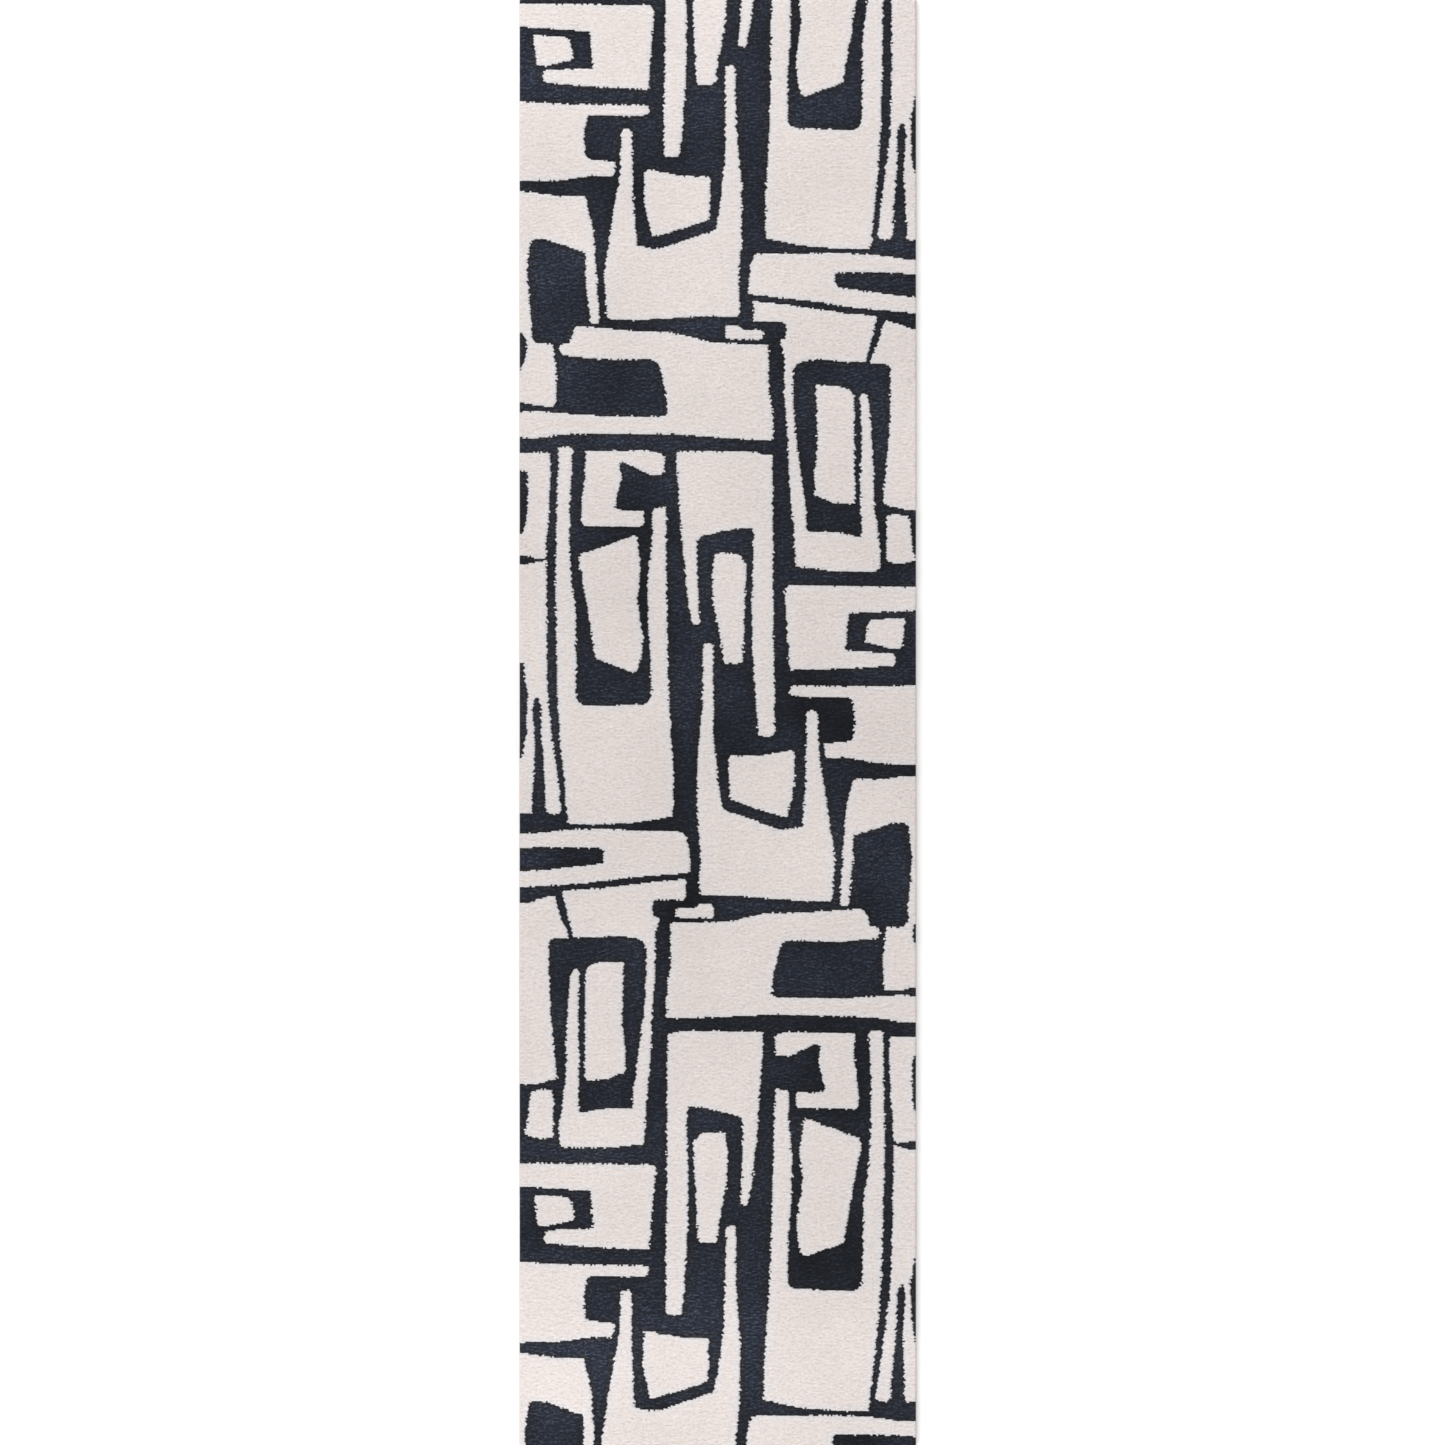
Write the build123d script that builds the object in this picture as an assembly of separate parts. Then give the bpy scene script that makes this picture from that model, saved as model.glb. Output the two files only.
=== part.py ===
"""Runner rug with a cut pile in two colours, lying flat, in millimetres.

The rug's length runs along Y, its width along X, and it lies on z = 0 with its pile up.
The origin is the middle of the underside. From the floor up it holds a latex coat with a sewn tape
at each end, a woven ground cloth, and the pile. Each long side has a cord laid along the cloth's edge,
and an overlocked yarn edge that wraps the cloth and the cord together.
"""

import os

from build123d import *

# The whole rug
rug_width = 660
rug_length = 2400

# Layers, from the floor up
coat_thickness = 0.8
cloth_thickness = 2.2
navy_pile_height = 8.5
cream_pile_height = 9.5
cloth_bottom = coat_thickness
cloth_top = cloth_bottom + cloth_thickness

# Long sides
overlock_width = 11
overlock_height = 4.6
overlock_round = 2.2
cord_diameter = 3
cord_cover = 3
yarn_between = 0.4
pile_setback = 1.5
pile_shoulder = 3
overlock_inside = rug_width / 2 - overlock_width
cord_centre = rug_width / 2 - cord_cover - cord_diameter / 2
cloth_half_width = cord_centre - cord_diameter / 2 - yarn_between
pile_half_width = rug_width / 2 - pile_setback

# Ends
tape_width = 30
tape_side_gap = 1
stitch_length = 4
stitch_width = 1
stitch_depth = 0.5
stitch_pitch = 8
stitch_rows = (5, 25)

# Pattern: one repeat is drawn, and each next one down the rug is its mirror image. Each was woven a little
# differently: where it starts down the rug and across it, how much it is stretched, and how far it leans
repeats = {
    -1: (-956.5, 0, 0.998, 0),
    0: (2.5, 0, 0.998, 0),
    1: (961.5, -0.5, 1, 0.003),
    2: (1924.5, 3, 1.009, -0.016),
}
mirror_line = 2.5
weft_skew = 0.013
past_edge = 340
plain_corner = 3
same_point = 0.001
colour_gap = 0.6

# Outlines of one repeat. Each point is (across from the rug's middle, along from the repeat's start),
# with the corner's radius third where it isn't the plain one.
cream_patches = {
    "hooked_block": [
        (-past_edge, 5), (-105, 8, 10), (-114, 149), (-225, 143), (-290, 137, 9), (-290, 116, 9),
        (-208, 113), (-213, 52), (-past_edge, 44)],
    "window_in_the_hook": [(-307, 57), (-245, 62, 12), (-238, 99), (-284, 110, 8), (-300, 108)],
    "side_panel_with_foot": [
        (-past_edge, 167), (-250, 172), (-113, 174, 8), (-114, 191, 8), (-150, 194), (-165, 192),
        (-216, 192, 8), (-221, 225), (-219, 263, 10), (-168, 269), (-173, 293), (-208, 292),
        (-262, 300), (-past_edge, 301)],
    "two_pronged_block": [
        (-160, 214, 6), (-142, 214, 6), (-140, 320), (-134, 408, 6), (-98, 413, 20), (-4, 382, 8),
        (4, 340), (12, 260), (12, 108, 6), (29, 108, 6), (31, 210), (40, 310), (40, 400), (35, 450),
        (37, 526), (-10, 525), (-140, 532), (-184, 530, 6), (-189, 460), (-177, 375), (-163, 290)],
    "cup_window": [
        (-119, 280, 5), (-62, 292), (-12, 293, 5), (-13, 365, 8), (-60, 381), (-109, 394),
        (-122, 340), (-122, 290)],
    "square_block_with_legs": [
        (-69, 749), (60, 750), (91, 757), (92, 960), (93, 1080), (95, 1130), (94, 1223, 6),
        (67, 1223, 5), (63, 1170), (57, 1080), (56, 1000), (59, 890), (57, 876, 8), (28, 879),
        (-33, 892, 12), (-34, 950), (-29, 1038, 5), (-43, 1038, 7), (-51, 990), (-58, 920), (-68, 780)],
    "arch_window": [
        (-5, 917, 6), (36, 920, 12), (48, 936), (46, 990), (41, 1102, 7), (9, 1102, 7), (4, 1060),
        (-8, 1000), (-10, 960)],
    "long_u_frame": [
        (90, -117), (112, -113), (115, -50), (121, 0), (121, 60), (116, 140), (117, 211, 14), (175, 214),
        (239, 217, 18), (240, 58), (247, 10), (250, -60), (249, -120), (244, -208), (247, -213),
        (268, -211), (270, -150), (274, -20), (272, 190), (266, 290), (258, 370), (255, 414, 8),
        (210, 414), (137, 408), (79, 396, 5), (79, 330), (83, 250), (87, 170), (88, 60)],
    "tongue_in_the_frame": [
        (138, -70, 5), (132, -14), (138, 40), (129, 100), (131, 130), (138, 162, 9), (208, 138, 8),
        (214, 100), (226, 25), (230, 0), (236, -24), (232, -35)],
    "tall_side_panel": [
        (past_edge, -14), (320, -16), (288, -24), (288, 110), (286, 215), (277, 290), (269, 350),
        (264, 398, 9), (290, 399, 9), (293, 335), (298, 270), (298, 225), (306, 195), (312, 222),
        (308, 285), (311, 345), (314, 399), (past_edge, 398)],
    "s_bend_block": [
        (-220, 748), (-110, 748), (-88, 754, 8), (-88, 789, 8), (-112, 789, 14), (-158, 767, 4),
        (-164, 770), (-159, 795), (-171, 843, 4), (-155, 848), (-121, 847, 4), (-123, 875, 8),
        (-226, 874, 9), (-226, 835), (-220, 790)],
    "small_side_panel": [
        (-past_edge, 751), (-278, 751), (-277, 790), (-280, 860), (-284, 900), (-284, 928), (-300, 928),
        (-318, 924), (-past_edge, 923)],
    "bar_block": [
        (62, 421, 10), (200, 420), (255, 422), (305, 429), (past_edge, 431), (past_edge, 521), (230, 512),
        (150, 500), (50, 489), (51, 465), (55, 437)],
    "large_stepped_block": [
        (57, 499), (110, 505), (200, 518), (265, 524, 4), (258, 555), (245, 602), (215, 601), (165, 597),
        (126, 603, 18), (125, 650), (129, 715), (138, 785), (147, 850), (149, 883), (190, 882),
        (238, 892, 5), (236, 800), (238, 740), (235, 655, 5), (249, 651, 8), (254, 700), (258, 760),
        (260, 840), (270, 910), (270, 950, 10), (190, 949), (129, 941, 5), (126, 885), (118, 800),
        (115, 720), (110, 660), (110, 591, 20), (101, 566), (113, 561), (113, 535, 7), (60, 535, 5)],
    "lozenge": [(12, 540, 8), (34, 540), (44, 546), (77, 548, 5), (74, 565, 6), (12, 563, 5)],
    "corner_panel": [
        (277, 531), (300, 538), (322, 546), (past_edge, 545), (past_edge, 847), (310, 847), (273, 837, 5),
        (277, 795), (284, 720), (286, 650), (286, 604, 12), (250, 603), (265, 570)],
    "small_window": [
        (279, 855, 9), (298, 853), (317, 857, 9), (321, 890), (328, 932, 4), (300, 937), (279, 933, 4),
        (280, 890)],
    "tall_window": [
        (162, 639), (200, 640), (226, 650, 16), (227, 740), (228, 839, 8), (190, 835), (160, 822, 5),
        (160, 785), (165, 740)],
    "long_block": [
        (-264, 571, 5), (-247, 570), (-236, 541, 8), (-205, 543), (-130, 550), (-75, 552), (-10, 568),
        (85, 572, 5), (85, 640), (93, 700), (92, 732, 6), (30, 729), (-80, 721), (-250, 721), (-305, 729),
        (-past_edge, 726), (-past_edge, 685), (-300, 682), (-190, 691), (-83, 691, 8), (-86, 655),
        (-100, 598, 16), (-200, 597), (-261, 590, 6)],
    "panel_round_the_block": [
        (-past_edge, 315), (-265, 325), (-219, 326, 7), (-206, 380), (-200, 470), (-196, 538, 5),
        (-211, 537, 5), (-219, 460), (-219, 421, 5), (-284, 398, 14), (-309, 397, 10), (-316, 450),
        (-310, 520), (-308, 570, 16), (-273, 570), (-267, 620), (-269, 677, 5), (-300, 674),
        (-past_edge, 665)],
}
navy_patches = {
    "finger": [(196, 453, 6), (300, 454), (past_edge, 457), (past_edge, 493), (300, 490), (196, 476, 7)],
    "right_edge_sliver": [
        (past_edge, 140), (329, 150), (321, 200), (323, 262), (331, 306), (past_edge, 306)],
    "left_edge_bar": [
        (-past_edge, 782), (-318, 783), (-316, 820), (-318, 865), (-325, 888), (-past_edge, 884)],
    "left_edge_sliver": [
        (-past_edge, 545), (-328, 552), (-318, 568), (-319, 592), (-331, 622), (-past_edge, 622)],
}


def on_the_rug(across, along, repeat):
    """The place on the rug of a point of one repeat: every second repeat is mirrored.

    The weft lies a little off square, and the outlines are drawn as they lie in a repeat that isn't
    mirrored, so a mirrored repeat is sheared back by its own skew and on by the rug's.
    """
    mirrored = repeat % 2 == 1
    start_down, start_across, stretch, lean = repeats[repeat]
    x = 2 * mirror_line - across if mirrored else across
    down = start_down + stretch * along + weft_skew * (x - across)
    return x + start_across + lean * along, rug_length / 2 - down


def patch_face(outline, repeat):
    """One patch of the pattern as a flat face with its corners rounded."""
    corners = [Vector(*on_the_rug(point[0], point[1], repeat)) for point in outline]
    radii = [point[2] if len(point) == 3 else plain_corner for point in outline]
    face = make_face(Polyline(*corners, close=True)).face()
    for radius in sorted(set(radii)):
        wanted = [corner for corner, own_radius in zip(corners, radii) if own_radius == radius]
        rounded = [
            vertex for vertex in face.vertices()
            if min((Vector(*vertex) - corner).length for corner in wanted) < same_point]
        face = face.fillet_2d(radius, rounded)
    return face


def pattern_faces(patches):
    """Every copy of the given patches that reaches the rug."""
    half = rug_length / 2
    faces = []
    for repeat in repeats:
        for outline in patches.values():
            face = patch_face(outline, repeat)
            box = face.bounding_box()
            if box.max.Y > -half and box.min.Y < half:
                faces.append(face)
    return faces


def pillars(faces, grow=0):
    """Faces raised from the floor to well over the pile, each grown by a margin first."""
    height = 2 * (cloth_top + cream_pile_height)
    grown = [offset(face, grow).face() if grow else face for face in faces]
    return [extrude(face, height, dir=(0, 0, 1)) for face in grown]


def slab(half_width, length, thickness, bottom):
    """A flat rectangular layer centred on the rug's middle line."""
    return Pos(0, 0, bottom) * Box(
        2 * half_width, length, thickness, align=(Align.CENTER, Align.CENTER, Align.MIN))


def pile_slab(height):
    """All the pile as one block: it stands on the cloth and leans out over the overlocked sides."""
    top = cloth_top + height
    outline = Polyline(
        (-overlock_inside, cloth_top), (overlock_inside, cloth_top),
        (overlock_inside, overlock_height), (pile_half_width, overlock_height),
        (pile_half_width, top), (-pile_half_width, top),
        (-pile_half_width, overlock_height), (-overlock_inside, overlock_height), close=True)
    section = make_face(outline)
    shoulders = section.vertices().group_by(Axis.Y)[-1]
    section = fillet(shoulders, pile_shoulder)
    return along_the_rug(section)


def along_the_rug(section):
    """A cross-section, drawn with X across and Y up, run from one end of the rug to the other."""
    return extrude(Plane.XZ * section, rug_length / 2, both=True)


def cord_section():
    return Pos(cord_centre, cloth_bottom + cloth_thickness / 2) * Circle(cord_diameter / 2)


def overlock_section():
    """The yarn round a long side, less the room that the cloth and the cord take inside it."""
    middle = rug_width / 2 - overlock_width / 2
    body = Pos(middle, overlock_height / 2) * Rectangle(overlock_width, overlock_height)
    body = fillet(body.vertices().group_by(Axis.X)[-1], overlock_round)
    cloth = Pos(0, cloth_bottom + cloth_thickness / 2) * Rectangle(2 * cloth_half_width, cloth_thickness)
    return body - cloth - cord_section()


def end_stitches():
    """Two rows of stitches through one end's tape, seen on the floor side, at the rug's +Y end."""
    count = int((2 * (overlock_inside - tape_side_gap) - stitch_length) // stitch_pitch)
    rows = [rug_length / 2 - inset for inset in stitch_rows]
    places = [((index - (count - 1) / 2) * stitch_pitch, y) for y in rows for index in range(count)]
    stitch = Box(stitch_length, stitch_width, stitch_depth, align=(Align.CENTER, Align.CENTER, Align.MIN))
    return [Pos(x, y, 0) * stitch for x, y in places]


def end_tape(stitches):
    tape = Pos(0, rug_length / 2 - tape_width / 2, 0) * Box(
        2 * (overlock_inside - tape_side_gap), tape_width, coat_thickness,
        align=(Align.CENTER, Align.CENTER, Align.MIN))
    return tape - stitches


def save(name, shape):
    solids = shape if isinstance(shape, list) else shape.solids()
    body = solids[0] if len(solids) == 1 else Compound(children=list(solids))
    body.label = name
    export_step(body, f"parts/{name}.step")


def cloth_and_coat():
    save("latex_back_coat", slab(overlock_inside, rug_length - 2 * tape_width, coat_thickness, 0))
    save("ground_weave", slab(cloth_half_width, rug_length, cloth_thickness, cloth_bottom))


def inside(block, pillar_list):
    """The part of the block that each pillar covers, as a list of solids."""
    return [solid for pillar in pillar_list for solid in (block & pillar).solids()]


def outside(block, pillar_list):
    """What is left of the block clear of the pillars, as a list of solids."""
    return list((block - pillar_list).solids())


def pile():
    """The cream patches, the navy lattice between them, and the navy patches that stand alone."""
    cream_faces = pattern_faces(cream_patches)
    island_faces = pattern_faces(navy_patches)
    island_holes = pillars(island_faces, colour_gap)
    cream = []
    for solid in inside(pile_slab(cream_pile_height), pillars(cream_faces)):
        cream += outside(solid, island_holes)
    save("cream_pile", cream)
    navy_slab = pile_slab(navy_pile_height)
    lattice = ShapeList(outside(navy_slab, pillars(cream_faces, colour_gap)))
    field, *islands = lattice.sort_by(SortBy.VOLUME, reverse=True)
    save("navy_pile_field", [field])
    save("navy_pile_islands", islands + inside(navy_slab, pillars(island_faces)))


def long_sides():
    right = {"overlock": along_the_rug(overlock_section()), "selvedge_cord": along_the_rug(cord_section())}
    for name, solid in right.items():
        save("right_" + name, solid)
        save("left_" + name, mirror(solid, Plane.YZ))


def ends():
    stitches = end_stitches()
    tape = end_tape(stitches)
    save("top_end_tape", tape)
    save("top_end_stitching", stitches)
    save("bottom_end_tape", mirror(tape, Plane.XZ))
    save("bottom_end_stitching", [mirror(stitch, Plane.XZ) for stitch in stitches])


os.makedirs("parts", exist_ok=True)
cloth_and_coat()
pile()
long_sides()
ends()
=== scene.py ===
"""Looks of the runner rug: its pile of cut tufts, wound sides, cords, cloth, back coat, tapes and stitches.

All lengths are in metres, in the CAD frame: the rug lies on z = 0 with its pile up and its length along Y.
"""

import math

import bpy
import numpy as np
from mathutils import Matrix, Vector
from mathutils.bvhtree import BVHTree


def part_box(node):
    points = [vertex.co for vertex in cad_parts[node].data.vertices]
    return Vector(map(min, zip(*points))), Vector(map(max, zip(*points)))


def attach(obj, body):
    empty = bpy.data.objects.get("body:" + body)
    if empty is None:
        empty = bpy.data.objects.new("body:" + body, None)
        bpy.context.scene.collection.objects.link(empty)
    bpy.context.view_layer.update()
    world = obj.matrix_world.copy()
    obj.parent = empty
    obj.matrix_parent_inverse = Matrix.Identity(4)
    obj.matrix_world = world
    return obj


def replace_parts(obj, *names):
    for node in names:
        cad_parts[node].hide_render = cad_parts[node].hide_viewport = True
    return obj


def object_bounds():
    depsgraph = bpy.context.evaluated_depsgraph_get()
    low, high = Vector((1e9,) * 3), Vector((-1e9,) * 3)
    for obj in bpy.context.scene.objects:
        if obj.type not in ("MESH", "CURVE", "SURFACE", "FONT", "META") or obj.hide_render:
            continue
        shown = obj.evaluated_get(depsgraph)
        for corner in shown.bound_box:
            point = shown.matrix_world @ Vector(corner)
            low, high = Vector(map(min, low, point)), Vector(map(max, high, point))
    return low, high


MM = 0.001
UP = Vector((0, 0, 1))

# Pile: rows of tufts across the rug, each row half a tuft on from the last
PILE_SEED = 11
ROW_PITCH = 2.4 * MM
TUFT_PITCH = 3 * MM
WEFT_SKEW = 0.013
SQUARE_NEAR_ENDS = 60 * MM
TUFT_UNEVEN = 0.2 * MM
POINT_WANDER = 0.12 * TUFT_PITCH
ROOT_WANDER = (0.8 * MM, 0.3 * MM)
CREAM_SET_BACK = 0.45 * MM
DROP_BETWEEN_TUFTS = 0.4 * MM
DROP_BETWEEN_ROWS = 0.6 * MM
DROP_BETWEEN_COLOURS = 0.4 * MM
RIM_STEPS = 10
BANDS = 8

# How much the tufts' own shades vary, and how they depend on their neighbours in the row and the next rows
SHADE_SPREAD = 0.26
ALIKE_IN_ROW = 0.1
UNLIKE_NEXT_ROW = 0.3

# Broad patches of painted sheen and shade, as where light catches pile that leans another way, taken from a
# part of the noise that makes the rug lighter near its ends and its left side
PAINTED_SHEEN_PATCH = 250 * MM
PAINTED_SHEEN_FROM = (-5.8, -27.6, 0)

# How the pile turns down at the rug's edges: (share of the way down, distance outwards)
SKIRT = ((0.0, 0.0), (0.15, 1.0 * MM), (0.5, 1.6 * MM), (1.0, 1.4 * MM))
EDGE_BULGE = 0.2 * MM
ABOVE_CLOTH = 0.1 * MM
SUNK_IN_OVERLOCK = 0.8 * MM

# Sides
WINDING_SEEDS = {"left_overlock": 6, "right_overlock": 5}
WINDING_PITCH = 2.6 * MM
WINDING_GROOVE = (0.35 * MM, 0.75 * MM)
WINDING_SHORT_OF_END = 0.4 * MM
CORD_PLIES = 3
CORD_TWIST = 14 * MM

# Cloth, back and ends: the pitch of the yarns across and along the rug, and how deep the ribs are
RIB_SEED = 21
CLOTH_YARNS = (2 * MM, 3.3 * MM)
CLOTH_RELIEF = 0.3 * MM
TAPE_YARNS = (1.5 * MM, 1.2 * MM)
TAPE_RELIEF = 0.2 * MM
STITCH_LENGTH = 4 * MM
STITCH_WIDTH = 1 * MM
STITCH_PITCH = 8 * MM
STITCH_STANDS_OUT = 0.2 * MM

# Camera, light and floor
LENS = 100
CAMERA_RIGHT_OF_MIDDLE = 7.8 * MM
CROPPED_AT_EACH_END = 2.5 * MM
ROOM_STRENGTH = 0.88
LAMP_STRENGTH = 0.5
LAMP_TURN = (math.radians(-35), math.radians(-30), 0)
LAMP_SPREAD = math.radians(40)
END_LAMP_WATTS = 15
END_LAMP_SIZE = (1.5, 0.6)
END_LAMP_PLACE = Vector((-0.6, 2.2, 1.2))
END_LAMP_AIM = Vector((0, 1, 0))
FLOOR_HALF = 40


# Materials


class Shader:
    """A Principled material, with short calls that add nodes to it."""

    def __init__(self, name, sheen=0.0, tint=(1, 1, 1)):
        self.material = bpy.data.materials.new(name)
        self.material.use_nodes = True
        self.tree = self.material.node_tree
        self.surface = self.tree.nodes["Principled BSDF"]
        self.surface.inputs["Specular IOR Level"].default_value = 0.2
        self.surface.inputs["Sheen Weight"].default_value = sheen
        self.surface.inputs["Sheen Roughness"].default_value = 0.6
        self.surface.inputs["Sheen Tint"].default_value = (*tint, 1)

    def add(self, kind, **settings):
        node = self.tree.nodes.new(kind)
        for key, value in settings.items():
            setattr(node, key, value)
        return node

    def feed(self, socket, value):
        """Links a socket to another node's output, or sets it to a number or a colour."""
        if isinstance(value, bpy.types.NodeSocket):
            self.tree.links.new(value, socket)
        elif isinstance(value, tuple):
            socket.default_value = (*value, 1)
        else:
            socket.default_value = value

    def place(self, stretch=(1, 1, 1), start=(0, 0, 0)):
        mapping = self.add("ShaderNodeMapping")
        mapping.inputs["Scale"].default_value = stretch
        mapping.inputs["Location"].default_value = start
        self.feed(mapping.inputs["Vector"], self.add("ShaderNodeTexCoord").outputs["Object"])
        return mapping.outputs["Vector"]

    def noise(self, size, detail=2, stretch=(1, 1, 1), start=(0, 0, 0)):
        """Noise whose lumps are about the given size across."""
        node = self.add("ShaderNodeTexNoise")
        self.feed(node.inputs["Scale"], 1 / size)
        self.feed(node.inputs["Detail"], detail)
        self.feed(node.inputs["Vector"], self.place(stretch, start))
        return node.outputs["Fac"]

    def ribs(self, pitch, direction):
        """Ribs of the given pitch that follow each other along an axis."""
        node = self.add("ShaderNodeTexWave", wave_type="BANDS", bands_direction=direction)
        self.feed(node.inputs["Scale"], math.pi / (10 * pitch))
        self.feed(node.inputs["Distortion"], 0.6)
        self.feed(node.inputs["Detail Scale"], 30)
        self.feed(node.inputs["Vector"], self.place())
        return node.outputs["Fac"]

    def attribute(self, name):
        return self.add("ShaderNodeAttribute", attribute_name=name).outputs["Fac"]

    def math(self, operation, *values):
        node = self.add("ShaderNodeMath", operation=operation)
        for socket, value in zip(node.inputs, values):
            self.feed(socket, value)
        return node.outputs["Value"]

    def blend(self, first, second, share):
        """Two factors in one: the given share of the second with the rest of the first."""
        return self.math("MULTIPLY_ADD", second, share, self.math("MULTIPLY", first, 1 - share))

    def ramp(self, factor, *stops):
        """Colours along a factor, as (position, colour) from low to high."""
        node = self.add("ShaderNodeValToRGB")
        elements = node.color_ramp.elements
        while len(elements) < len(stops):
            elements.new(0.5)
        for element, (position, colour) in zip(elements, stops):
            element.position = position
            element.color = (*colour, 1)
        self.feed(node.inputs["Fac"], factor)
        return node.outputs["Color"]

    def mix(self, factor, first, second, how="MIX"):
        node = self.add("ShaderNodeMix", data_type="RGBA", blend_type=how)
        self.feed(node.inputs[0], factor)
        self.feed(node.inputs[6], first)
        self.feed(node.inputs[7], second)
        return node.outputs[2]

    def finish(self, colour, rough, relief, depth):
        """Sets the colour, the roughness around 0.9 and the fine relief, and returns the material."""
        self.feed(self.surface.inputs["Base Color"], colour)
        self.feed(self.surface.inputs["Roughness"], self.math("MULTIPLY_ADD", rough, 0.2, 0.8))
        bump = self.add("ShaderNodeBump")
        self.feed(bump.inputs["Distance"], depth)
        self.feed(bump.inputs["Height"], relief)
        self.feed(self.surface.inputs["Normal"], bump.outputs["Normal"])
        return self.material


def pile_yarn(name, deep, body, tip, seam_light_and_shade, dye, sheen, painted_sheen_share):
    """Cut pile: each tuft has its own shade, the gaps between tufts and rows are painted darker as shade, and
    tufts near the other colour carry a painted tint of light and shade.

    Dye is how much the hue varies, and the last argument how much the broad patches of painted sheen and shade
    vary.
    """
    shader = Shader(name, sheen, tip)
    fibres = shader.noise(1.1 * MM, 3)
    shade = shader.blend(shader.attribute("tone"), fibres, 0.25)
    shade = shader.blend(shade, shader.noise(18 * MM, 2), 0.04)
    colour = shader.ramp(shade, (0.1, deep), (0.5, body), (0.9, tip))
    warmth = shader.ramp(shader.noise(4 * MM, 2), (0.3, (1 - dye, 1, 1 + dye)), (0.7, (1 + dye, 1, 1 - dye)))
    colour = shader.mix(1.0, colour, warmth, "MULTIPLY")
    # Painted sheen and shade: broad patches painted lighter and darker, lighter near the rug's ends and its
    # left side
    painted_sheen = shader.noise(PAINTED_SHEEN_PATCH, 3, start=PAINTED_SHEEN_FROM)
    painted_sheen = shader.ramp(painted_sheen, (0.3, (1 - painted_sheen_share,) * 3), (0.7, (1 + painted_sheen_share,) * 3))
    colour = shader.mix(1.0, colour, painted_sheen, "MULTIPLY")
    # Painted light and shade along the colour seams: tufts near the other colour are multiplied by the seam
    # tint
    colour = shader.mix(shader.attribute("seam_light_and_shade"), colour, seam_light_and_shade, "MULTIPLY")
    # Painted shade: the gaps between tufts and rows, and the sides that hang down, are mixed towards the deep
    # colour
    colour = shader.mix(shader.math("MULTIPLY", shader.attribute("depth"), 0.5), colour, deep)
    relief = shader.noise(0.7 * MM, 2, (1, 1, 0.3))
    return shader.finish(colour, fibres, relief, 0.2 * MM)


def wound_yarn(name, dark, light, ply):
    """Twisted yarn: fine slanting plies with fuzz over them."""
    shader = Shader(name, 0.15, light)
    plies = shader.add("ShaderNodeTexWave", wave_type="BANDS", bands_direction="DIAGONAL")
    shader.feed(plies.inputs["Scale"], math.pi / (10 * ply))
    shader.feed(plies.inputs["Distortion"], 1.5)
    shader.feed(plies.inputs["Vector"], shader.place())
    fuzz = shader.noise(1.2 * MM, 3)
    shade = shader.blend(plies.outputs["Fac"], fuzz, 0.5)
    shade = shader.blend(shade, shader.noise(25 * MM), 0.2)
    return shader.finish(shader.ramp(shade, (0.2, dark), (0.8, light)), fuzz, shade, 0.15 * MM)


def woven_yarn(name, dark, light, yarns):
    """Cloth: crossed ribs of yarn, with thick and thin places and broad faint patches."""
    shader = Shader(name, 0.1, light)
    across_pitch, along_pitch = yarns
    weave = shader.math("MULTIPLY", shader.ribs(across_pitch, "X"), shader.ribs(along_pitch, "Y"))
    slubs = shader.noise(6 * MM, 3, (1, 4, 1))
    shade = shader.blend(weave, slubs, 0.45)
    shade = shader.blend(shade, shader.noise(150 * MM), 0.2)
    return shader.finish(shader.ramp(shade, (0.15, dark), (0.7, light)), slubs, shade, 0.3 * MM)


def latex_coat(name, dark, light):
    """A thin wash of latex over the cloth's back: the ribs show through it, and it pools in places."""
    shader = Shader(name)
    pools = shader.noise(40 * MM, 4)
    grain = shader.noise(2 * MM, 4)
    across_pitch, along_pitch = CLOTH_YARNS
    weave = shader.math("MULTIPLY", shader.ribs(across_pitch, "X"), shader.ribs(along_pitch, "Y"))
    shade = shader.blend(shader.blend(weave, grain, 0.4), pools, 0.4)
    return shader.finish(shader.ramp(shade, (0.2, dark), (0.7, light)), pools, shade, 0.25 * MM)


def floor_paint():
    shader = Shader("pale_floor")
    patches = shader.noise(0.8, 2)
    colour = shader.ramp(patches, (0.0, (0.90, 0.90, 0.90)), (1.0, (0.93, 0.93, 0.93)))
    return shader.finish(colour, patches, patches, 0.1 * MM)


# Mesh helpers


def make_piece(name, points, quads, caps, material, slot, **attributes):
    """A smooth-shaded piece of the rug from arrays of points and four-cornered faces, and a list of caps."""
    mesh = bpy.data.meshes.new(name)
    corners = np.concatenate([quads.ravel(), *caps]).astype(np.int32)
    sizes = np.array([4] * len(quads) + [len(cap) for cap in caps])
    mesh.vertices.add(len(points))
    mesh.vertices.foreach_set("co", points.astype(np.float32).ravel())
    mesh.loops.add(len(corners))
    mesh.loops.foreach_set("vertex_index", corners)
    mesh.polygons.add(len(sizes))
    mesh.polygons.foreach_set("loop_start", (np.cumsum(sizes) - sizes).astype(np.int32))
    mesh.polygons.foreach_set("use_smooth", sizes == 4)
    for key, values in attributes.items():
        layer = mesh.attributes.new(key, "FLOAT", "POINT")
        layer.data.foreach_set("value", values.astype(np.float32))
    mesh.update(calc_edges=True)
    mesh.materials.append(material)
    piece = bpy.data.objects.new(name, mesh)
    bpy.context.scene.collection.objects.link(piece)
    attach(piece, "root")
    return piece


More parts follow.
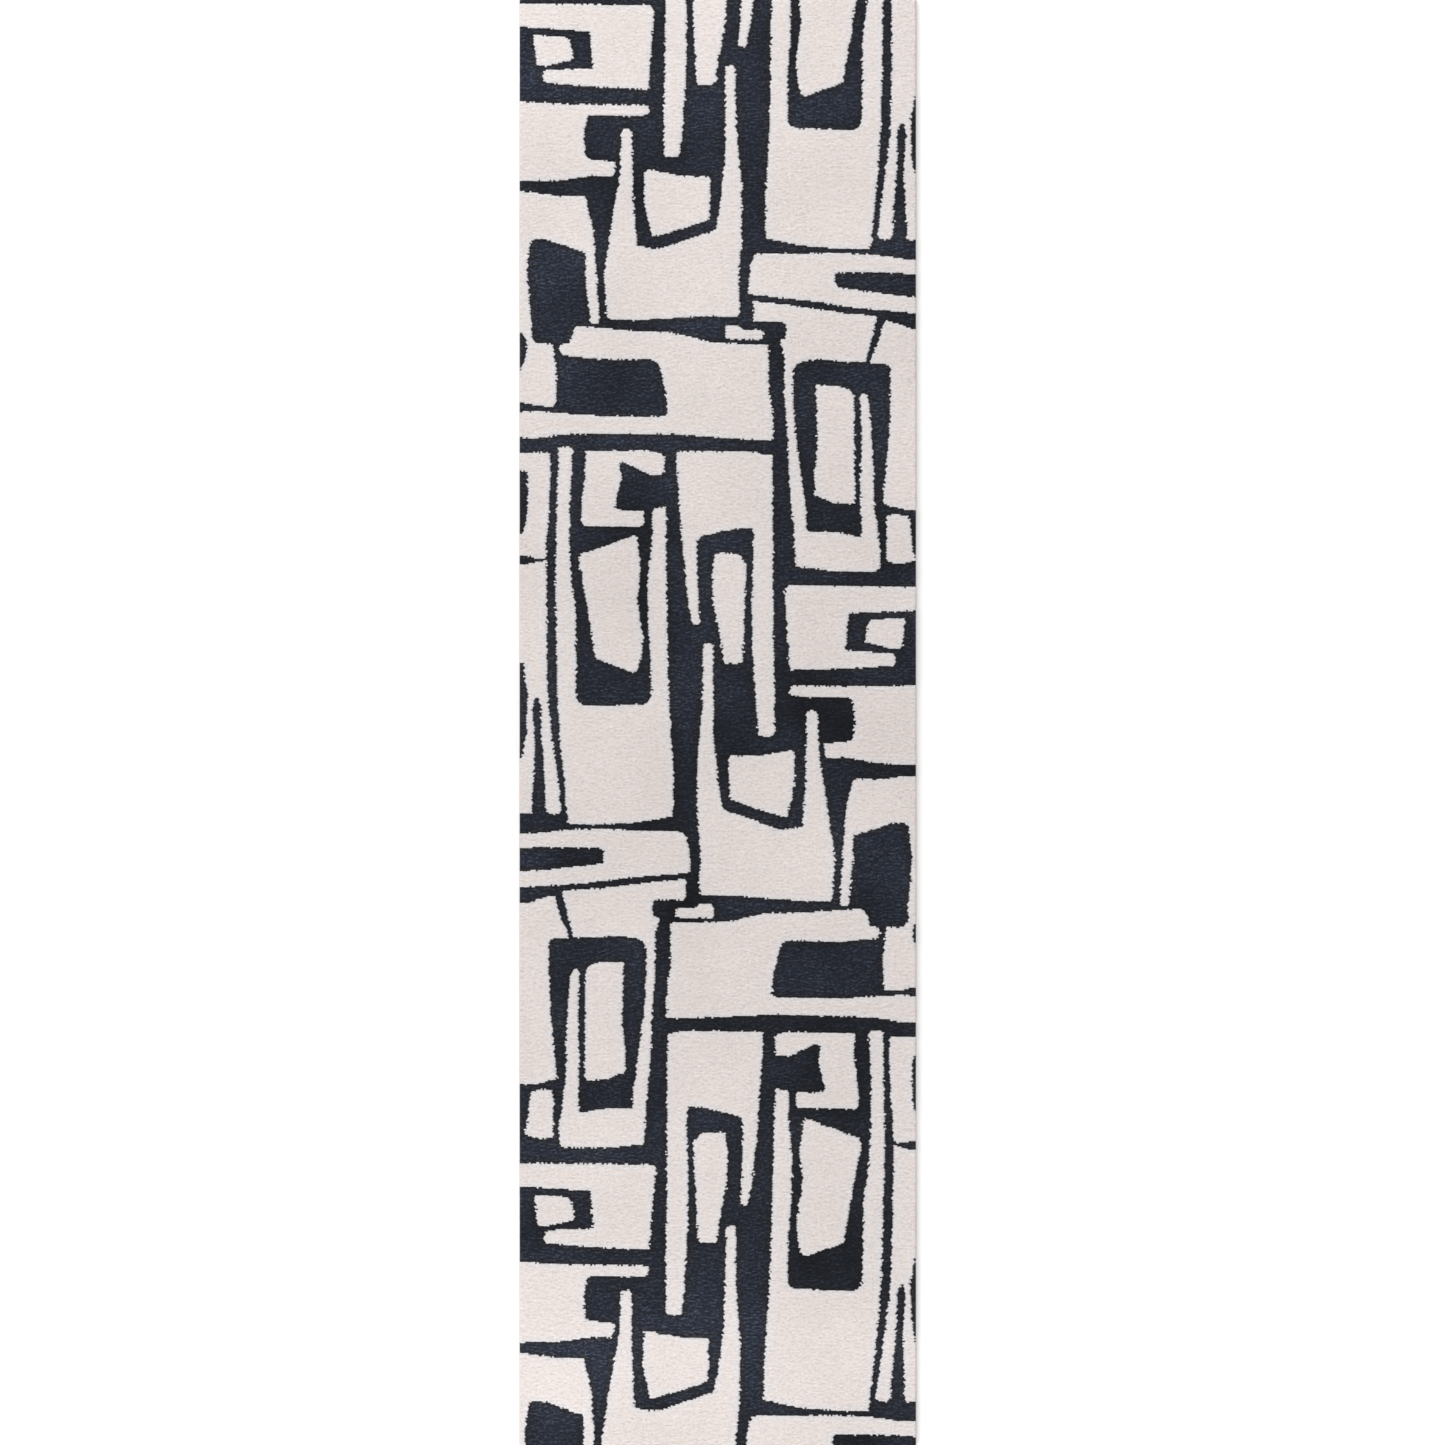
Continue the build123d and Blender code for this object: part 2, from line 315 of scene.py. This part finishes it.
def grid_quads(lines, columns):
    """The faces of a sheet of points, facing up where lines follow +Y and columns follow +X."""
    line, column = np.meshgrid(np.arange(lines - 1), np.arange(columns - 1), indexing="ij")
    first = line * columns + column
    return np.stack([first, first + 1, first + columns + 1, first + columns], -1).reshape(-1, 4)


def tube_faces(lines, around):
    """The faces of a closed tube: rings of points, one after another, with a cap at each end."""
    line, step = np.meshgrid(np.arange(lines - 1), np.arange(around), indexing="ij")
    here, beside = line * around + step, line * around + (step + 1) % around
    quads = np.stack([here, beside, beside + around, here + around], -1).reshape(-1, 4)
    last = (lines - 1) * around
    return quads, [np.arange(around)[::-1], last + np.arange(around)]


def make_tubes(name, tubes, material, slot):
    """One piece from tubes that all have the same number of rings, with every face turned outwards."""
    lines, around = tubes[0].shape[:2]
    quads, caps = tube_faces(lines, around)
    first, *rest = (tubes[0].reshape(-1, 3)[quads[:, corner]] for corner in range(3))
    volume = np.einsum("ij,ij->i", first, np.cross(*rest)).sum()
    if volume < 0:
        quads = quads[:, ::-1]
        caps = [cap[::-1] for cap in caps]
    starts = [number * lines * around for number in range(len(tubes))]
    return make_piece(
        name, np.concatenate([tube.reshape(-1, 3) for tube in tubes]),
        np.concatenate([quads + start for start in starts]),
        [cap + start for start in starts for cap in caps], material, slot)


# Pile


def square_up(x, y, end):
    """The place along the rug of a point of a row, which runs a little off square except near the ends."""
    inside = np.clip((end - np.abs(y)) / SQUARE_NEAR_ENDS, 0, 1)
    return y - WEFT_SKEW * x * inside


def around_points(faces, how):
    """For each point of a sheet, the mean or another measure of its four faces' values."""
    padded = np.pad(faces, 1, mode="edge")
    return how([padded[:-1, :-1], padded[1:, :-1], padded[:-1, 1:], padded[1:, 1:]], axis=0)


def spread(mask):
    """The mask with its nearest neighbours along both axes."""
    padded = np.pad(mask, 1)
    return mask | padded[:-2, 1:-1] | padded[2:, 1:-1] | padded[1:-1, :-2] | padded[1:-1, 2:]


def cream_tufts(x, y):
    """True for each tuft whose root, at x and y, is on one of the CAD model's cream patches."""
    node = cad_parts["cream_pile"].data
    faces = [face.vertices for face in node.polygons]
    patches = BVHTree.FromPolygons([point.co for point in node.vertices], faces)
    inside = np.ones(x.shape, bool)
    for side_x, side_y in ((-1, -1), (1, -1), (-1, 1), (1, 1)):
        places = zip((x + side_x * CREAM_SET_BACK).flat, (y + side_y * CREAM_SET_BACK).flat)
        hits = [patches.ray_cast(Vector((px, py, 1)), -UP)[0] is not None for px, py in places]
        inside &= np.array(hits).reshape(x.shape)
    return inside


def tuft_shades(shape, random):
    """Each tuft's own shade around a half: neighbours in a row are alike, and neighbouring rows differ."""
    shade = random.normal(size=shape)
    shade = shade + ALIKE_IN_ROW * (np.roll(shade, 1, axis=1) + np.roll(shade, -1, axis=1))
    shade = shade - UNLIKE_NEXT_ROW * (np.roll(shade, 1, axis=0) + np.roll(shade, -1, axis=0))
    return 0.5 + SHADE_SPREAD * shade


def nearness(seam):
    """How near each point is to a change of colour: 1 on it, down to 0 from RIM_STEPS points away."""
    reach, near = seam, np.zeros(seam.shape)
    for _ in range(RIM_STEPS):
        near += reach / RIM_STEPS
        reach = spread(reach)
    return near


def sheet_places(low, high, rows, tufts, random):
    """The x and y of each point of the sheet: an even grid whose inner points wander a little."""
    x, y = np.meshgrid(
        np.linspace(low.x, high.x, 2 * tufts + 1), np.linspace(low.y, high.y, 2 * rows + 1))
    wander = POINT_WANDER * random.normal(size=(2, *x.shape)).clip(-2, 2)
    x[1:-1, 1:-1] += wander[0, 1:-1, 1:-1]
    y[1:-1, 1:-1] += wander[1, 1:-1, 1:-1]
    return x, square_up(x, y, high.y)


def pile_sheet():
    """The pile's whole upper surface, as arrays of points, faces and what the materials read.

    Two faces across and two along make a tuft, with its middle on an odd line. Lines run across the rug.
    """
    random = np.random.default_rng(PILE_SEED)
    inset = max(outwards for _, outwards in SKIRT) * Vector((1, 1, 0))
    low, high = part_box("navy_pile_field")
    low, high = low + inset, high - inset
    rows, tufts = round((high.y - low.y) / ROW_PITCH), round((high.x - low.x) / TUFT_PITCH)
    x, y = sheet_places(low, high, rows, tufts, random)

    row, tuft = np.meshgrid(np.arange(rows), np.arange(tufts + 1), indexing="ij")
    middles = 2 * row + 1, np.minimum(2 * tuft + 1 - row % 2, 2 * tufts)
    roots_x = np.clip(x[middles] + ROOT_WANDER[0] * random.normal(size=row.shape), low.x, high.x)
    roots_y = np.clip(y[middles] + ROOT_WANDER[1] * random.normal(size=row.shape), low.y, high.y)
    cream = cream_tufts(roots_x, roots_y)
    tall = np.where(cream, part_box("cream_pile")[1].z, high.z) - TUFT_UNEVEN
    tall = tall + TUFT_UNEVEN * (random.normal(size=tall.shape) + 0.5 * random.normal(size=(rows, 1)))

    face_line, face_column = np.meshgrid(np.arange(2 * rows), np.arange(2 * tufts), indexing="ij")
    owner = face_line // 2, (face_column + face_line // 2 % 2) // 2
    line, column = np.meshgrid(np.arange(2 * rows + 1), np.arange(2 * tufts + 1), indexing="ij")
    on_row = line % 2 == 1
    middle = on_row & ((column + line // 2) % 2 == 1)
    mixed = around_points(cream[owner].astype(float), np.mean)
    seam = (mixed > 0) & (mixed < 1)
    drop = np.where(middle, 0, np.where(on_row, DROP_BETWEEN_TUFTS, DROP_BETWEEN_ROWS))
    z = np.where(seam, around_points(tall[owner], np.min) - DROP_BETWEEN_COLOURS,
                 around_points(tall[owner], np.mean) - drop)
    looks = {
        "tone": around_points(tuft_shades(cream.shape, random)[owner], np.mean),
        # depth is painted shade: none on a tuft's middle, more between tufts in a row, most between rows
        "depth": np.where(middle, 0, np.where(on_row, 0.5, 0.7)),
        # the seam weight for the painted light and shade along the colour seams
        "seam_light_and_shade": nearness(seam),
    }
    return np.stack([x, y, z], -1), cream[owner], looks


def steps_past_edge(count, steps):
    """For each of a row of points, how many steps it is past the sheet's own first or last point."""
    past = np.abs(np.arange(count) - (count - 1) / 2) - (count - 1) / 2 + steps
    return np.clip(past, 0, steps).astype(int)


def turn_down(points, face_cream, looks):
    """Adds the lines and columns of points that hang down the rug's sides and ends."""
    steps = len(SKIRT) - 1
    points = np.pad(points, ((steps, steps), (steps, steps), (0, 0)), mode="edge")
    face_cream = np.pad(face_cream, steps, mode="edge")
    looks = {key: np.pad(values, steps, mode="edge") for key, values in looks.items()}
    lines, columns = face_cream.shape[0] + 1, face_cream.shape[1] + 1
    end_step = steps_past_edge(lines, steps)[:, None]
    side_step = steps_past_edge(columns, steps)[None, :]
    ring = np.maximum(end_step, side_step)
    share, outwards = np.array(SKIRT)[ring].transpose(2, 0, 1)
    corner_turn = np.hypot(end_step, side_step).clip(1)
    on_side, on_end = (end_step == 0) * EDGE_BULGE, (side_step == 0) * EDGE_BULGE
    tuft_side = np.where(np.arange(lines)[:, None] % 2 == steps % 2, -on_side, on_side)
    tuft_end = np.where(np.arange(columns)[None, :] % 2 == steps % 2, -on_end, on_end)
    overlock_low, overlock_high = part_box("right_overlock")
    over_yarn = np.abs(points[..., 0]) > overlock_low.x + SUNK_IN_OVERLOCK
    foot = np.where(
        over_yarn, overlock_high.z - SUNK_IN_OVERLOCK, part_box("ground_weave")[1].z + ABOVE_CLOTH)
    points[..., 0] += np.sign(points[..., 0]) * (outwards + tuft_side) * side_step / corner_turn
    points[..., 1] += np.sign(points[..., 1]) * (outwards + tuft_end) * end_step / corner_turn
    points[..., 2] += (foot - points[..., 2]) * share
    # Painted shade: the sides that hang down are painted darker towards the floor
    looks["depth"] = np.maximum(looks["depth"], 0.6 * share)
    return points, face_cream, looks


def sheet_normals(points):
    """The direction that each point of the sheet faces, so that pieces cut from it shade as one."""
    normals = np.cross(np.gradient(points, axis=1), np.gradient(points, axis=0))
    return normals / np.linalg.norm(normals, axis=-1, keepdims=True)


def make_pile():
    """The pile in bands along the rug, each with a piece for its cream tufts and one for its navy ones."""
    points, face_cream, looks = turn_down(*pile_sheet())
    lines, columns = points.shape[:2]
    quads = grid_quads(lines, columns)
    normals = sheet_normals(points).reshape(-1, 3)
    band = quads[:, 0] // columns // 2 * 2 * BANDS // lines
    # The seam tints are painted light and shade: the cream turns bluer and less red near the navy, and the navy
    # darker in green and blue near the cream
    cream_yarn = pile_yarn(
        "cream_pile_yarn", deep=(0.525, 0.473, 0.455), body=(0.674, 0.616, 0.589), tip=(0.783, 0.72, 0.703),
        seam_light_and_shade=(0.95, 1.02, 1.09), dye=0.06, sheen=0.15, painted_sheen_share=0.065)
    navy_yarn = pile_yarn(
        "navy_pile_yarn", deep=(0.005, 0.006, 0.009), body=(0.014, 0.0175, 0.029), tip=(0.05, 0.06, 0.083),
        seam_light_and_shade=(1.0, 0.8, 0.6), dye=0.15, sheen=0.03, painted_sheen_share=0.8)
    pieces = []
    for colour, wanted, material, nodes in (
            ("cream", face_cream.ravel(), cream_yarn, ["cream_pile"]),
            ("navy", ~face_cream.ravel(), navy_yarn, ["navy_pile_field", "navy_pile_islands"])):
        for number in range(BANDS):
            used, corners = np.unique(quads[wanted & (band == number)], return_inverse=True)
            looks_used = {key: values.ravel()[used] for key, values in looks.items()}
            piece = make_piece(
                f"{colour}_pile_{number + 1}", points.reshape(-1, 3)[used], corners.reshape(-1, 4), [],
                material, f"{colour}_pile_yarn", **looks_used)
            piece.data.normals_split_custom_set_from_vertices(normals[used])
            pieces.append(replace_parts(piece, *nodes))
    return pieces


# Sides


def make_overlock(node, material):
    """Yarn wound round a long side: a sleeve whose ridges climb along it like a screw's thread."""
    steps, around = 4, 20
    low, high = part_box(node)
    middle, half = (low + high) / 2, (high - low) / 2
    length = high.y - low.y - 2 * WINDING_SHORT_OF_END
    turns = round(length / WINDING_PITCH)
    random = np.random.default_rng(WINDING_SEEDS[node])
    turn = np.arange(turns * steps + 1)[:, None] / steps
    angle = 2 * math.pi * np.arange(around)[None, :] / around
    depths = random.uniform(*WINDING_GROOVE, turns + 1)
    deep = np.interp(turn[:, 0], np.arange(turns + 1), depths)[:, None]
    groove = deep * (1 - np.abs(np.sin(math.pi * (turn + 0.3 * np.cos(angle)))))
    across = np.sign(np.cos(angle)) * np.abs(np.cos(angle)) ** 0.45
    up = np.sign(np.sin(angle)) * np.abs(np.sin(angle)) ** 0.6
    x = middle.x + across * (half.x - groove)
    y = middle.y - length / 2 + turn * length / turns + 0 * angle
    z = middle.z + up * (half.z - groove)
    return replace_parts(make_tubes(node + "_yarn", [np.stack([x, y, z], -1)], material, "overlock_yarn"), node)


def make_cord(node, material):
    """The cord inside a side: three plies twisted together."""
    steps, around = 14, 18
    low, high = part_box(node)
    middle, radius = (low + high) / 2, (high.x - low.x) / 2
    turns = round((high.y - low.y) / CORD_TWIST)
    turn = np.arange(turns * steps + 1)[:, None] / steps
    angle = 2 * math.pi * np.arange(around)[None, :] / around
    ply = np.abs(np.cos(CORD_PLIES / 2 * (angle - 2 * math.pi * turn)))
    reach = radius * (0.8 + 0.2 * ply)
    y = low.y + turn * (high.y - low.y) / turns + 0 * angle
    rings = np.stack([middle.x + reach * np.cos(angle), y, middle.z + reach * np.sin(angle)], -1)
    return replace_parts(make_tubes(node + "_plies", [rings], material, "cotton_cord"), node)


# Cloth, back and ends


def make_ribbed_layer(node, name, material, slot, rib, relief, along, columns, rise=0):
    """A flat layer whose floor side has ribs of yarn that follow each other along the given axis, 0 or 1.

    The rise is how far that side is held off the floor.
    """
    steps = 4
    low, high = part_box(node)
    count = round((high[along] - low[along]) / rib)
    random = np.random.default_rng(RIB_SEED)
    thick = np.interp(np.arange(count * steps + 1), np.arange(count) * steps, random.uniform(0.7, 1, count))
    swell = np.abs(np.sin(math.pi * np.arange(count * steps + 1) / steps)) * thick
    floor_side = (low.z + rise + relief * (1 - swell))[:, None] + np.zeros(columns)
    run = np.linspace(low[along], high[along], count * steps + 1)[:, None]
    across = np.linspace(low[1 - along], high[1 - along], columns)[None, :]
    under = np.empty((count * steps + 1, columns, 3))
    under[..., along] = run
    under[..., 1 - along] = across
    under[..., 2] = floor_side
    top = under[:, [-1, 0]].copy()
    top[..., 2] = high.z
    rings = np.concatenate([under, top], axis=1)
    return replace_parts(make_tubes(name, [rings], material, slot), node)


def make_stitches(node, material):
    """The thread of two rows of stitches, as short round lumps half sunk in the tape."""
    lines, around = 7, 10
    low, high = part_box(node)
    count = round((high.x - low.x - STITCH_LENGTH) / STITCH_PITCH) + 1
    share = np.linspace(-1, 1, lines)[:, None]
    angle = 2 * math.pi * np.arange(around)[None, :] / around
    fat = np.sqrt(1 - 0.95 * share ** 4)
    half_height = (high.z - low.z) / 2
    tubes = []
    for row_y in (low.y + STITCH_WIDTH / 2, high.y - STITCH_WIDTH / 2):
        for number in range(count):
            x = low.x + STITCH_LENGTH / 2 + number * STITCH_PITCH + share * STITCH_LENGTH / 2 + 0 * angle
            y = row_y + fat * STITCH_WIDTH / 2 * np.cos(angle)
            z = low.z + half_height + fat * half_height * np.sin(angle)
            tubes.append(np.stack([x, y, z], -1))
    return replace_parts(make_tubes(node + "_thread", tubes, material, "hem_thread"), node)


def make_sides():
    yarn = wound_yarn("overlock_yarn", (0.52, 0.46, 0.42), (0.82, 0.77, 0.73), 1.3 * MM)
    cotton = wound_yarn("cotton_cord", (0.50, 0.46, 0.40), (0.74, 0.70, 0.63), 0.8 * MM)
    pieces = []
    for side in ("left", "right"):
        pieces.append(make_overlock(side + "_overlock", yarn))
        pieces.append(make_cord(side + "_selvedge_cord", cotton))
    return pieces


def make_back():
    """The latex coat, and the tape and the stitches at each end."""
    coat = latex_coat("latex_coat", (0.46, 0.41, 0.33), (0.70, 0.65, 0.56))
    weave = woven_yarn("hem_tape", (0.44, 0.39, 0.31), (0.68, 0.63, 0.54), TAPE_YARNS)
    thread = wound_yarn("hem_thread", (0.55, 0.51, 0.44), (0.82, 0.78, 0.71), 0.4 * MM)
    pieces = [make_ribbed_layer(
        "latex_back_coat", "latex_back_coat_ribs", coat, "latex_coat", CLOTH_YARNS[1], CLOTH_RELIEF, 1, 24)]
    for end in ("top", "bottom"):
        pieces.append(make_ribbed_layer(
            end + "_end_tape", end + "_end_tape_weave", weave, "hem_tape", TAPE_YARNS[0], TAPE_RELIEF, 0, 6,
            STITCH_STANDS_OUT))
        pieces.append(make_stitches(end + "_end_stitching", thread))
    return pieces


def make_cloth(with_pieces):
    """The ground cloth, the one sheet that everything else of the rug is on."""
    jute = woven_yarn("ground_yarn", (0.30, 0.24, 0.16), (0.58, 0.50, 0.38), CLOTH_YARNS)
    cloth = make_ribbed_layer(
        "ground_weave", "ground_cloth", jute, "ground_yarn", CLOTH_YARNS[1], CLOTH_RELIEF, 1, 24)


# Camera, light and floor


def make_camera():
    """Straight above the rug, where the rug's length less the cropped ends fills the picture's height."""
    low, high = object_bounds()
    camera = bpy.data.objects.new("camera", bpy.data.cameras.new("camera"))
    camera.data.lens = LENS
    seen = high.y - low.y - 2 * CROPPED_AT_EACH_END
    away = seen * LENS / camera.data.sensor_width
    camera.location = (CAMERA_RIGHT_OF_MIDDLE, 0, high.z + away)
    bpy.context.scene.collection.objects.link(camera)
    bpy.context.scene.camera = camera


def make_light():
    """A white room, a broad weak lamp from the upper left, and a soft lamp beyond each end of the rug."""
    world = bpy.data.worlds.new("white_room")
    world.use_nodes = True
    background = world.node_tree.nodes["Background"]
    background.inputs["Color"].default_value = (1, 1, 1, 1)
    background.inputs["Strength"].default_value = ROOM_STRENGTH
    bpy.context.scene.world = world
    lamp = bpy.data.objects.new("soft_lamp", bpy.data.lights.new("soft_lamp", "SUN"))
    lamp.data.energy = LAMP_STRENGTH
    lamp.data.angle = LAMP_SPREAD
    lamp.rotation_euler = LAMP_TURN
    bpy.context.scene.collection.objects.link(lamp)
    for name, side in (("top_end_lamp", 1), ("bottom_end_lamp", -1)):
        panel = bpy.data.objects.new(name, bpy.data.lights.new(name, "AREA"))
        panel.data.shape = "RECTANGLE"
        panel.data.size, panel.data.size_y = END_LAMP_SIZE
        panel.data.energy = END_LAMP_WATTS
        this_end = Vector((1, side, 1))
        panel.location = END_LAMP_PLACE * this_end
        aim = END_LAMP_AIM * this_end - panel.location
        panel.rotation_euler = aim.to_track_quat("-Z", "Y").to_euler()
        panel.visible_camera = False
        bpy.context.scene.collection.objects.link(panel)
    bpy.context.scene.view_settings.view_transform = "Standard"


def make_floor():
    mesh = bpy.data.meshes.new("floor")
    corners = [(-FLOOR_HALF, -FLOOR_HALF, 0), (FLOOR_HALF, -FLOOR_HALF, 0),
               (FLOOR_HALF, FLOOR_HALF, 0), (-FLOOR_HALF, FLOOR_HALF, 0)]
    mesh.from_pydata(corners, [], [(0, 1, 2, 3)])
    mesh.materials.append(floor_paint())
    floor = bpy.data.objects.new("floor", mesh)
    bpy.context.scene.collection.objects.link(floor)


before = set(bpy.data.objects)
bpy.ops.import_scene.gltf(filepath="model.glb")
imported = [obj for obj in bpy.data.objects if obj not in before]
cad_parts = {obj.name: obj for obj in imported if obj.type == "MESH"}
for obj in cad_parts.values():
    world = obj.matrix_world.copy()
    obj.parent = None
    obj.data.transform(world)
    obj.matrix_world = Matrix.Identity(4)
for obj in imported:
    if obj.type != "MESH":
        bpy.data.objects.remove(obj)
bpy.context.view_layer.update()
make_camera()
make_light()
make_floor()
make_cloth([*make_pile(), *make_sides(), *make_back()])
